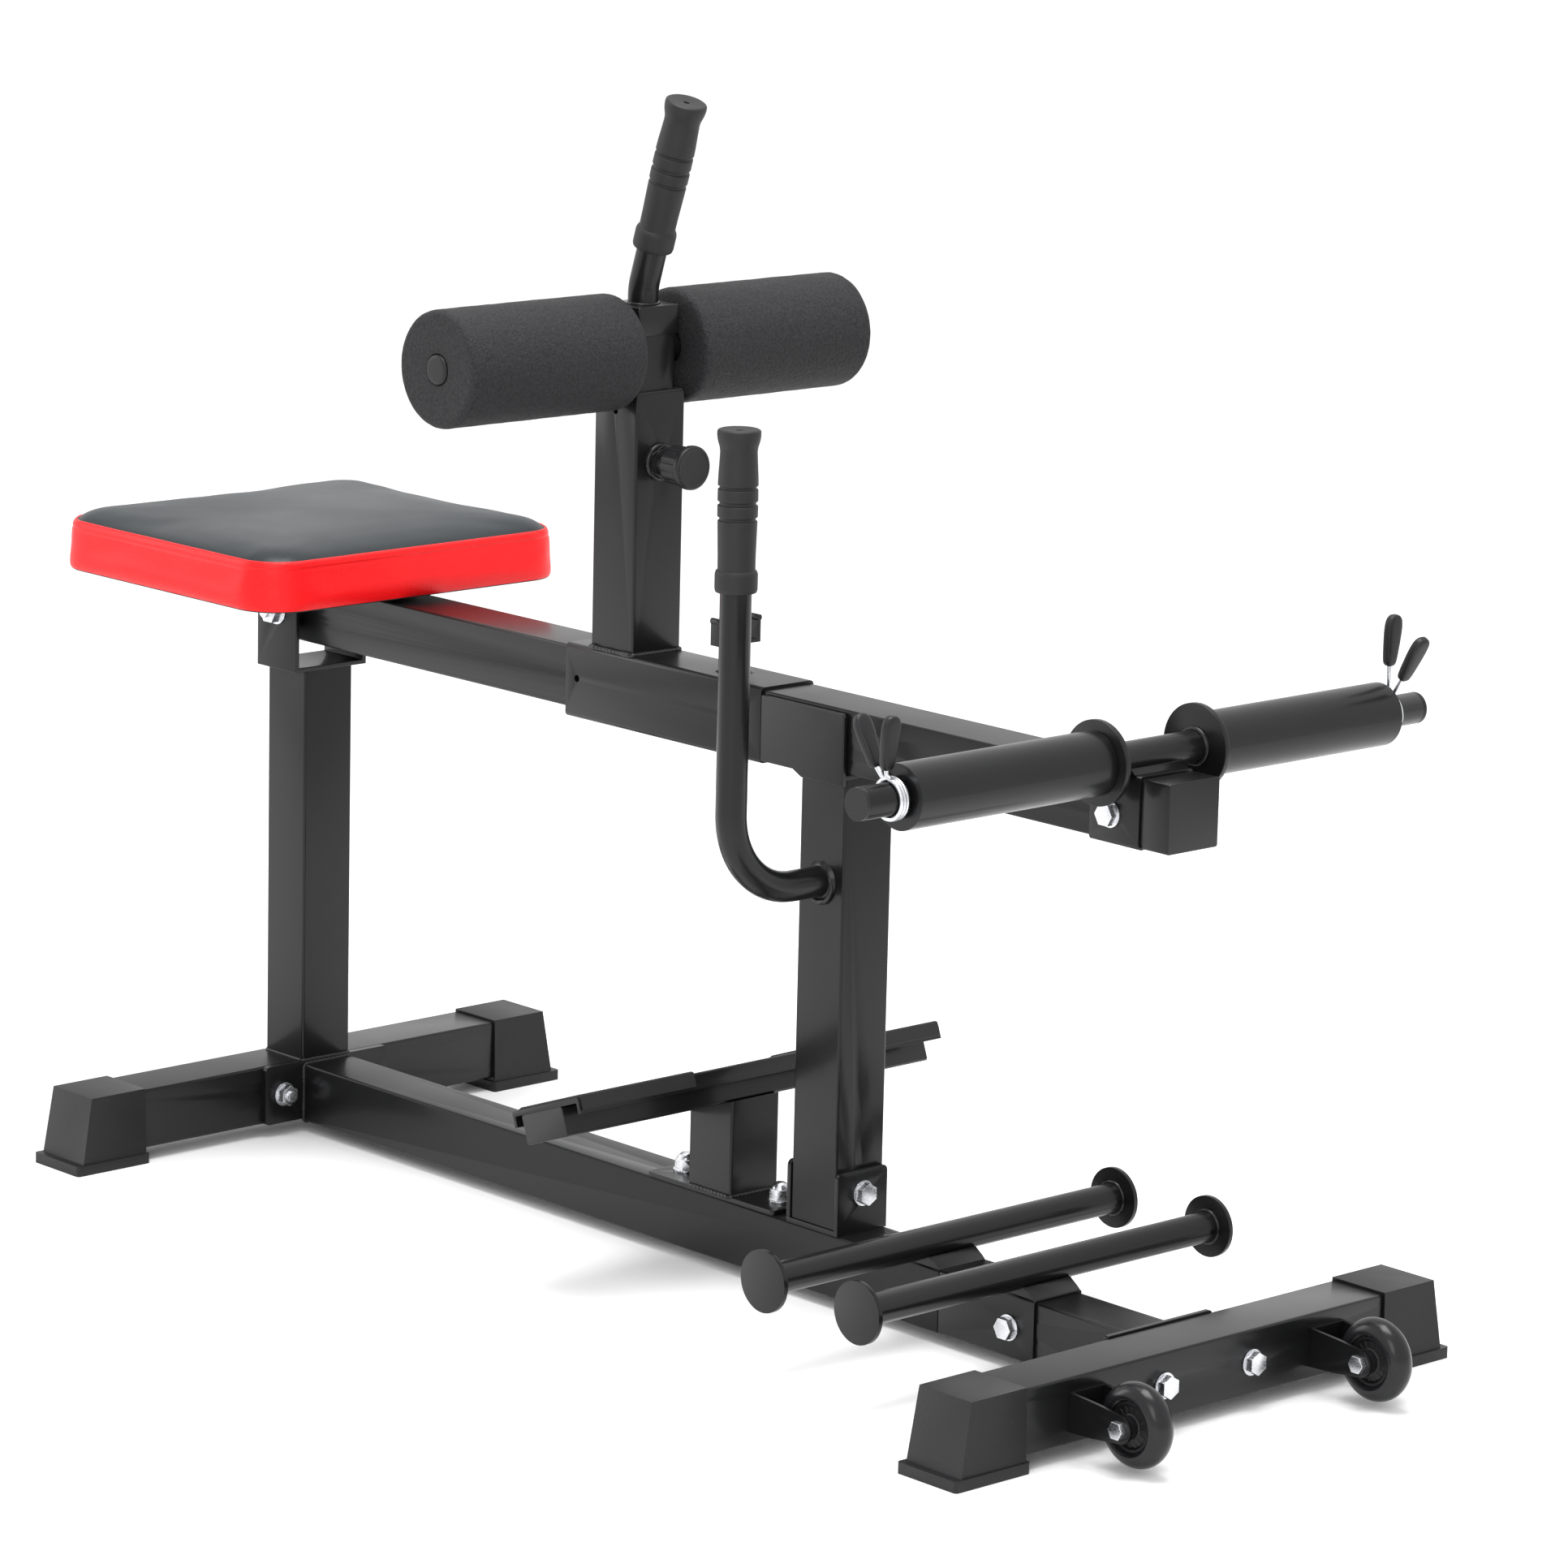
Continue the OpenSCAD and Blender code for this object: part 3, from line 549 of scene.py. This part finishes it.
def seat_rings():
    """The seat's outline at an inset and a height, its middle, its underside and its height."""
    lo, hi = box("seat_cushion")
    mid = (lo + hi) / 2
    half = (hi - lo) / 2
    corner, least_corner = 42 * mm, 9 * mm
    arc_steps, side_steps = 14, 26

    def ring(inset, z, scale=1.0):
        hx, hy, r = half.x - inset, half.y - inset, max(corner - inset, least_corner)

        def on_arc(sx, sy, w):
            return Vector((sx * (hx - r) + r * math.cos(w), sy * (hy - r) + r * math.sin(w), 0))

        pts = []
        for sx, sy, start in corners:
            for k in range(arc_steps):
                pts.append(on_arc(sx, sy, (start + k / arc_steps) * math.pi / 2))
            w = (start + 1) * math.pi / 2
            p = on_arc(sx, sy, w)
            q = on_arc(-sx, sy, w) if start % 2 == 0 else on_arc(sx, -sy, w)
            for k in range(side_steps):
                pts.append(p.lerp(q, k / side_steps))
        return [Vector((mid.x + p.x * scale, mid.y + p.y * scale, lo.z + z)) for p in pts]
    return ring, mid, lo.z, half.z * 2


def profile_rings(ring, h, crown):
    """(ring, material) list from the middle of the underside to the middle of the top."""
    # The cloth under the seat lies just below the board that it covers
    rows = [(ring(9 * mm, -0.25 * mm, s), UNDERSIDE) for s in (0.02, 0.2, 0.4, 0.6, 0.8, 0.93)]
    for inset, z in ((6.5, -0.25), (3.2, -0.2), (2.6, 1.2)):
        rows.append((ring(inset * mm, z * mm), UNDERSIDE))
    for inset, z in ((2.2, 2.0), (1.5, 3.2), (0.9, 5), (0.3, 9), (0.0, 14), (-0.2, 20), (-0.1, 26),
                     (0.2, 30)):
        rows.append((ring(inset * mm, z * mm), BAND))
    # The sewn line below the top edge, and the rounded welt above it
    for inset, z in ((0.4, -11.5), (0.7, -9.8), (2.3, -8.6), (0.7, -7.4), (0.8, -5.8), (1.7, -3.8),
                     (3.2, -2.3), (4.8, -1.5), (6.2, -1.3)):
        rows.append((ring(inset * mm, h + z * mm), BAND))
    seam_z = h - 1.5 * mm
    rows.append((ring(7.0 * mm, seam_z - 0.9 * mm), BAND))
    for inset, z in ((7.8, -0.4), (9.0, 1.4), (11.5, 3.2), (15, 4.6), (20, 5.7), (27, 6.6), (36, 7.2),
                     (48, 7.7)):
        rows.append((ring(inset * mm, h + (z - 1.5) * mm), TOP))
    for s in (0.9, 0.78, 0.64, 0.5, 0.36, 0.22, 0.1, 0.02):
        rows.append((ring(50 * mm, h + (crown - 0.3 - 1.6 * s * s) * mm, s), TOP))
    return rows


def strip(rows):
    """Vertices, faces and each face's material of the closed form through the rings."""
    n = len(rows[0][0])
    verts = [p for r, m in rows for p in r]
    faces = skin(len(rows), n)
    mats = [m for r, m in rows[1:] for k in range(n)]
    faces += [tuple(range(n))[::-1], tuple(range((len(rows) - 1) * n, len(rows) * n))]
    mats += [UNDERSIDE, TOP]
    return verts, faces, mats


def puffed(verts, faces, low, cap):
    """A tree of the closed form after a cloth sim under pressure.

    It is held below the height low, and no point moves further than cap.
    """
    pressure, voxel, frames = 4.0, 0.006, 20
    me = bpy.data.meshes.new("sim")
    me.from_pydata([tuple(v) for v in verts], [], faces)
    o = bpy.data.objects.new("sim", me)
    coll.objects.link(o)
    rm = o.modifiers.new("v", "REMESH")
    rm.mode = "VOXEL"
    rm.voxel_size = voxel
    dg = bpy.context.evaluated_depsgraph_get()
    new = bpy.data.meshes.new_from_object(o.evaluated_get(dg))
    o.modifiers.clear()
    o.data = new
    start = [v.co.copy() for v in new.vertices]
    g = o.vertex_groups.new(name="held")
    g.add([v.index for v in new.vertices if v.co.z < low], 1.0, "REPLACE")
    cl = o.modifiers.new("c", "CLOTH")
    s = cl.settings
    s.quality = 5
    s.mass = 0.4
    s.tension_stiffness = s.compression_stiffness = 18
    s.shear_stiffness = 8
    s.bending_stiffness = 1.2
    s.vertex_group_mass = "held"
    s.use_pressure = True
    s.uniform_pressure_force = pressure
    s.effector_weights.gravity = 0
    cl.collision_settings.use_collision = False
    cl.point_cache.frame_start = 1
    cl.point_cache.frame_end = frames
    scene = bpy.context.scene
    for f in range(1, frames + 1):
        scene.frame_set(f)
    dg = bpy.context.evaluated_depsgraph_get()
    out = bpy.data.meshes.new_from_object(o.evaluated_get(dg))
    pts = []
    for v, a in zip(out.vertices, start):
        d = v.co - a
        pts.append(a + (d.normalized() * min(d.length, cap) if d.length > 1e-9 else d))
    tree = BVHTree.FromPolygons(pts, [tuple(p.vertices) for p in out.polygons])
    scene.frame_set(1)
    bpy.data.objects.remove(o, do_unlink=True)
    return tree


def seat():
    ring, mid, floor_z, h = seat_rings()
    rows = profile_rings(ring, h, 9.0)
    verts, faces, mats = strip(rows)
    n = len(rows[0][0])
    # The sim starts just inside the drawn form and swells against it
    inner = [mid + Vector(((v.x - mid.x) * 0.985, (v.y - mid.y) * 0.987, v.z - mid.z))
             for v in verts]
    tree = puffed(inner, faces, floor_z + 4 * mm, 3.5 * mm)
    first = next(i for i, (r, m) in enumerate(rows) if m != UNDERSIDE)
    for i in range(first, len(rows)):
        share = min(1.0, (i - first) / 5)
        for j in range(i * n, (i + 1) * n):
            hit = tree.find_nearest(verts[j])[0]
            if hit is not None:
                d = hit - verts[j]
                if rows[i][1] == BAND:
                    d.z *= 0.3
                verts[j] = verts[j] + d * (0.55 * share)
    for i, (r, m) in enumerate(rows):
        for k in range(n):
            v = verts[i * n + k]
            if m == BAND:
                out = Vector((v.x - mid.x, v.y - mid.y, 0)).normalized()
                wave = noise.noise(Vector((v.x * 26, v.y * 26, v.z * 60)))
                verts[i * n + k] = v + out * (0.5 * mm * wave)
            elif m == TOP:
                v.z += 0.7 * mm * noise.noise(Vector((v.x * 16, v.y * 16, 3.0)))
    o = make("seat_pad", verts, faces, [UNDER, RED, BLACK_VINYL], "lever", ("seat_cushion",))
    for p, m in zip(o.data.polygons, mats):
        p.material_index = m
    sub = o.modifiers.new("s", "SUBSURF")
    sub.levels = sub.render_levels = 1


seat()


# ---------------------------------------------------------------- knee rollers

def roller(side):
    name = "roller_" + hand(side)
    lo, hi = box(name)
    mid = (lo + hi) / 2
    r, length = (hi.z - lo.z) / 2 / mm, (hi.y - lo.y) / mm
    inner = Vector((mid.x, lo.y if side > 0 else hi.y, mid.z))
    pts = [(12.6, 4), (12.7, 0.6), (30, 0, 3), (r, 0, 18)]
    pts += [(r, length * k / 12) for k in range(1, 12)]
    pts += [(r, length, 15), (30, length, 4), (14.5, length - 0.8), (12.7, length - 1.2),
            (12.6, length - 6)]
    v, f = revolve(round_profile(scale_mm(pts), 2 * mm, 7), inner, (0, side, 0), 144)
    out = []
    for p in v:
        d = Vector((p.x - mid.x, 0, p.z - mid.z))
        k = noise.noise(p * 70) * 0.25 + noise.noise(p * 260) * 0.22
        out.append(p + (d.normalized() * (k * mm) if d.length > 0.02 else Vector()))
    o = make(name + "_foam", out, f, FOAM, name, (name,))
    lathe("roller_plug_" + hand(side),
          [(0, 2.6), (9.5, 2.4), (11.4, 2.0), (12.3, 0.6), (12.3, -7), (0, -7)],
          (mid.x, inner.y + side * (length - 1.6) * mm, mid.z), (0, side, 0), PLASTIC, "post", 0.7, 48,
          ("roller_plugs",) if side > 0 else ())


roller(1)
roller(-1)


# ---------------------------------------------------------------- hand grips

# The profile from foot to tip: radius, height and, where it differs, the rounding, in mm
GRIP = [
    (12.6, 0.2), (16.2, 0, 1.2), (16.9, 3.0), (16.9, 14.6, 1.0), (16.0, 17.2, 0.8), (14.9, 17.4),
    (14.8, 19.5), (14.9, 30), (15.3, 45), (15.6, 56.2, 1.0), (14.2, 57.0), (14.2, 58.8),
    (15.8, 59.4, 1.2), (15.9, 68.2, 1.2), (14.3, 69.0), (14.3, 71.2), (15.9, 71.8, 1.2),
    (15.8, 81.0, 1.2), (14.4, 81.8), (14.4, 83.2), (15.9, 84.0, 1.0), (15.6, 92), (15.0, 102),
    (14.6, 110), (14.9, 113.5, 2), (16.6, 119.0, 2), (17.2, 123.5, 1), (17.0, 127.0, 1.4),
    (15.0, 128.0), (6.0, 127.2), (2.6, 127.0), (2.3, 126.0), (2.3, 122), (0, 122)]


def grip(name, node, body, foot, along):
    o = lathe(name, GRIP, foot, along, RUBBER, body, 0.5, 72, (node,))
    sharp(o, 60)


lo, hi = box("grab_handle_grip")
grip("rail_grip", "grab_handle_grip", "frame", ((lo.x + hi.x) / 2, (lo.y + hi.y) / 2, lo.z), (0, 0, 1))
lean = math.radians(17.4)
along = Vector((math.sin(lean), 0, math.cos(lean)))
clo, chi = box("post_cap")
bend = Vector(((clo.x + chi.x) / 2 + 1.5 * mm, 0, chi.z + 13 * mm))


def top_handle():
    """The tube above the post's cap, with its smooth bend."""
    foot = Vector((bend.x, 0, chi.z - 2 * mm))
    radius = 46 * mm
    t = radius * math.tan(lean / 2)
    pts = [foot, Vector((bend.x, 0, bend.z - t))]
    c = Vector((bend.x + radius, 0, bend.z - t))
    for k in range(1, 15):
        w = lean * k / 14
        pts.append(c + Vector((-radius * math.cos(w), 0, radius * math.sin(w))))
    pts += [bend + along * (0.032 + 0.02 * k) for k in range(0, 7)]
    v, f = sweep(pts, 12.5 * mm, 56)
    o = make("top_handle_tube", v, f, PAINT, "post", ("top_handle",))
    sharp(o, 50)


top_handle()
grip("top_grip", "top_handle_grip", "post", bend + along * 34.5 * mm, along)


# ---------------------------------------------------------------- pull knob

def knob():
    lo, hi = box("pull_knob")
    back = Vector((lo.x, (lo.y + hi.y) / 2, (lo.z + hi.z) / 2))
    n = (hi.x - lo.x) / mm
    pts = [(0, 0.8), (8, 0.5), (13.0, 0, 1.0), (15.0, 2.0), (15.3, 4), (15.3, 12), (15.3, n - 9.5),
           (15.3, n - 8.2), (18.0, n - 7.0, 1.0), (18.3, n - 4), (18.0, n - 1.6), (16.6, n - 0.3),
           (15.2, n - 0.2), (14.6, n - 0.8), (6, n - 0.9), (0, n - 0.9)]
    ribbed, ribs = range(16, 35), 12

    def rib(a, i):
        return 1.0 + (0.07 * (0.5 + 0.5 * math.cos(ribs * a)) ** 0.4 if i in ribbed else 0)

    v, f = revolve(round_profile(scale_mm(pts), 0.6 * mm), back, (1, 0, 0), 144, rib)
    o = make("knob_ribbed", v, f, PLASTIC, "knob", ("pull_knob",))
    sharp(o, 55)


knob()


# ---------------------------------------------------------------- wheels

def wheel(side):
    name = hand(side)
    lo, hi = box("wheel_tyre_" + name)
    mid = (lo + hi) / 2
    r, w = (hi.z - lo.z) / 2 / mm, (hi.y - lo.y) / 2 / mm
    tread = 12
    core = r - tread
    pts = [(core - 1.2, -w + 2.4), (core + 0.5, -w + 0.6)]
    for k in range(1, 24):
        a = -math.pi / 2 + math.pi * k / 24
        pts.append((core + tread * math.cos(a), w * math.sin(a)))
    pts += [(core + 0.5, w - 0.6), (core - 1.2, w - 2.4), (r - 13.6, w - 4), (r - 13.6, -w + 4),
            (r - 13.2, -w + 2.4)]
    lathe("tyre_" + name, pts, mid, (0, 1, 0), TYRE, "wheel_" + name, 0.5, 96,
          ("wheel_tyre_" + name,))

    hub = [(4.1, -15), (4.1, -15.4), (8.0, -15.4), (8.6, -14.8), (8.8, -8), (10, -7.2),
           (15.6, -6.4), (16.4, -7.2), (17.0, -8.6), (19.2, -8.8), (19.6, -8), (19.6, 8),
           (19.2, 8.8), (17.0, 8.6), (16.4, 7.2), (15.6, 6.4), (10, 7.2), (8.8, 8), (8.6, 14.8),
           (8.0, 15.4), (4.1, 15.4), (4.1, 15)]
    spokes = 16
    parts = [revolve(round_profile(scale_mm(hub), 0.4 * mm), mid, (0, 1, 0), 72)]
    for s in (-1, 1):
        for k in range(spokes):
            a = 2 * math.pi * k / spokes
            d = Vector((math.cos(a), 0, math.sin(a)))
            base = mid + Vector((0, s * 6.6 * mm, 0))
            parts.append(sweep([base + d * (10.2 * mm), base + d * (15.8 * mm)], 0.75 * mm, 8))
    v, f = merge(parts)
    o = make("hub_" + name, v, f, PLASTIC, "wheel_" + name, ("wheel_hub_" + name,))
    sharp(o, 40)


wheel(1)
wheel(-1)


# ---------------------------------------------------------------- spring collars

def collar(side, grips):
    """A coiled spring collar.

    grips: for the inner and the outer wire end, the grip's foot (x, z) from the bar's centre in
    mm and its lean in degrees.
    """
    name = hand(side)
    bar = centre("weight_bar_plugs")
    alo, ahi = box("plate_adapter_" + name)
    start = (ahi.y if side > 0 else -alo.y) + 4 * mm
    coil, pitch, turns = 14.8 * mm, 3.8 * mm, 3
    places = (start, start + 2 * pitch)

    def at(a, y, rad):
        return Vector((bar.x + rad * math.sin(a), side * y, bar.z + rad * math.cos(a)))

    angles = [math.atan2(x, z) for x, z, lean in grips]
    reach = [math.hypot(x, z) for x, z, lean in grips]
    way = 1 if angles[0] > angles[1] else -1
    arms = [[at(angles[k], places[k], r * mm)
             for r in (reach[k] + 5, reach[k], (reach[k] + 17.5) / 2, 17.5)] for k in (0, 1)]
    first = angles[0] + way * 0.25
    last = angles[1] + way * (2 * math.pi * turns - 0.25)
    steps = 190
    spiral = [at(first + (last - first) * k / steps, start + 2 * pitch * k / steps, coil)
              for k in range(steps + 1)]
    path = arms[0] + spiral + arms[1][::-1]
    v, f = sweep(path, 1.9 * mm, 14)
    make("spring_wire_" + name, v, f, ZINC, "collar_" + name, ("collar_" + name,))
    sides = 28
    # Height along the grip, half width along the bar and half thickness
    rows = [(-1.5, 2.2, 1.8), (-0.6, 4.0, 3.2), (1.2, 5.2, 4.0), (6, 5.9, 4.4), (14, 6.8, 4.5),
            (22, 7.7, 4.5), (29, 8.2, 4.4), (34, 7.9, 4.2), (37.3, 6.6, 3.9), (39.4, 4.4, 3.2),
            (40.2, 2.2, 2.0)]
    squareness = 0.62
    parts = []
    for k in (0, 1):
        x, z, lean = grips[k]
        foot = Vector((bar.x + x * mm, side * places[k], bar.z + z * mm))
        turn = Matrix.Rotation(math.radians(lean), 3, "Y")
        verts = []
        for h, w, d in rows:
            for i in range(sides):
                c, s = math.cos(2 * math.pi * i / sides), math.sin(2 * math.pi * i / sides)
                p = Vector((math.copysign(abs(c) ** squareness, c) * d,
                            math.copysign(abs(s) ** squareness, s) * w, h)) * mm
                verts.append(foot + turn @ p)
        faces = skin(len(rows), sides)
        faces.append(tuple(range(sides))[::-1])
        faces.append(tuple(range((len(rows) - 1) * sides, len(rows) * sides)))
        parts.append((verts, faces))
    v, f = merge(parts)
    o = make("spring_grips_" + name, v, f, PLASTIC, "collar_" + name, ("collar_grips_" + name,))
    sub = o.modifiers.new("s", "SUBSURF")
    sub.levels = sub.render_levels = 1


collar(1, ((20, 31, 30), (-1.5, 38, 5)))
collar(-1, ((-20.5, 20.5, -28), (-1.5, 22.5, 7)))


# ---------------------------------------------------------------- weld beads

def square_loop(c, half, z):
    """Points round a square tube's outside."""
    r = 3.5 * mm
    pts = []
    for sx, sy, start in corners:
        for k in range(5):
            w = (start + k / 4) * math.pi / 2
            pts.append(Vector((c.x + sx * (half - r) + r * math.cos(w),
                               c.y + sy * (half - r) + r * math.sin(w), z)))
    return pts


def welds():
    """The weld beads, one piece for each body."""
    lever, base, post = [], [], []
    lo, hi = box("post_outer_tube")
    half = (hi.x - lo.x) / 2
    # The body's list, the node, the bead's gap from its side and its foot, and the bead's radius
    for out, node, gap, up, size in ((lever, "post_outer_tube", 0.5, 0.5, 2.3),
                                     (base, "rear_upright", 0.3, 0.3, 1.7),
                                     (base, "foot_post", 0.4, 4.4, 2.0)):
        loop = square_loop(centre(node), half + gap * mm, box(node)[0].z + up * mm)
        out.append(bead(loop, size, True))
    bar = centre("weight_bar_plugs")
    for s in (-1, 1):
        flange = (bar.x, s * 50.6 * mm, bar.z)
        lever.append(bead(ring_points(flange, (0, s, 0), 13.4 * mm), 2.4, True))
    rail_foot = Vector((centre("grab_handle_grip").x, -half - 1.4 * mm,
                        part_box("grab_handle")[0][2] + 12.5 * mm))
    base.append(bead(ring_points(rail_foot, (0, 1, 0), 13.4 * mm), 2.2, True))
    lo, hi = box("pin_housing")
    housing = (lo.x + 0.6 * mm, 0, (lo.z + hi.z) / 2)
    lever.append(bead(ring_points(housing, (1, 0, 0), 13.6 * mm), 2.4, True))
    lo, hi = box("band_pegs")
    disc_r = 25 * mm
    for x in (lo.x + disc_r, hi.x - disc_r):
        for s in (-1, 1):
            disc = (x, s * (hi.y - 4.6 * mm), hi.z - disc_r)
            base.append(bead(ring_points(disc, (0, 1, 0), 13.1 * mm), 1.8, True))
            edge = [Vector((x + s * 21.5 * mm, y * mm, lo.z + 0.4 * mm)) for y in (-23, 23)]
            base.append(bead(edge, 1.8))
    cap_top = (bend.x, 0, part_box("post_cap")[1][2] + 0.4 * mm)
    post.append(bead(ring_points(cap_top, (0, 0, 1), 13.0 * mm), 1.3, True))
    sleeve = centre("joining_sleeve")
    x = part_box("base_beam")[0][0] + 6.4 * mm
    loop = square_loop(Vector((0, 0, 0)), half + 0.3 * mm, 0)
    base.append(bead([Vector((x, p.x, sleeve.z + p.y)) for p in loop], 1.8, True))
    for body, parts in (("lever", lever), ("frame", base), ("post", post)):
        v, f = merge(parts)
        # The beads take the weld copy of the powder coat, whose lighter tint is painted highlight
        make("weld_beads_" + body, v, f, WELD_PAINTED_HIGHLIGHT, body, ())


welds()


# ---------------------------------------------------------------- foot treads

def treads():
    """Rubber treads wrapped over the foot plate's front edge, with fine ribs across them."""
    tilt = math.radians(20)
    c, s = math.cos(tilt), math.sin(tilt)
    mid = centre("foot_beam")
    # Along the plate and up from the foot beam's middle, in mm
    x0, x1, z0 = -31.2, 47.8, 16.65
    count = 14
    prof = [(x0, z0), (x0 + 0.5, z0 + 1.1)]
    x = x0 + 2.0
    pitch = (x1 - 3 - x) / count
    for k in range(count):
        prof += [(x, z0 + 1.2), (x + pitch * 0.18, z0 + 1.9), (x + pitch * 0.60, z0 + 1.9),
                 (x + pitch * 0.78, z0 + 1.2)]
        x += pitch
    prof += [(x1 - 1.0, z0 + 1.9), (x1 + 1.0, z0 + 1.6), (x1 + 1.8, z0 + 0.5), (x1 + 1.9, z0 - 4),
             (x1 + 1.8, z0 - 10.4), (x1 + 1.3, z0 - 11), (x1, z0 - 11), (x1, z0 - 2),
             (x1 - 0.8, z0)]
    parts = []
    yhi = box("foot_treads")[1].y
    ylo = yhi - 120 * mm
    for side in (-1, 1):
        ys = [ylo, ylo + 1 * mm, ylo + 30 * mm, ylo + 60 * mm, yhi - 30 * mm, yhi - 1 * mm, yhi]
        verts = []
        for j, y in enumerate(ys):
            shrink = 0.5 if j in (0, len(ys) - 1) else 0.0
            for px, pz in prof:
                if shrink and pz > z0 + 1:
                    pz -= shrink
                X, Z = px * mm, pz * mm
                verts.append(mid + Vector((X * c - Z * s, side * y, X * s + Z * c)))
        n = len(prof)
        faces = skin(len(ys), n)
        faces.append(tuple(range(n)))
        faces.append(tuple(range((len(ys) - 1) * n, len(ys) * n)))
        parts.append((verts, faces))
    v, f = merge(parts)
    o = make("foot_tread_pads", v, f, RUBBER, "frame", ("foot_treads",))
    sharp(o, 25)


treads()


camera()
stage()
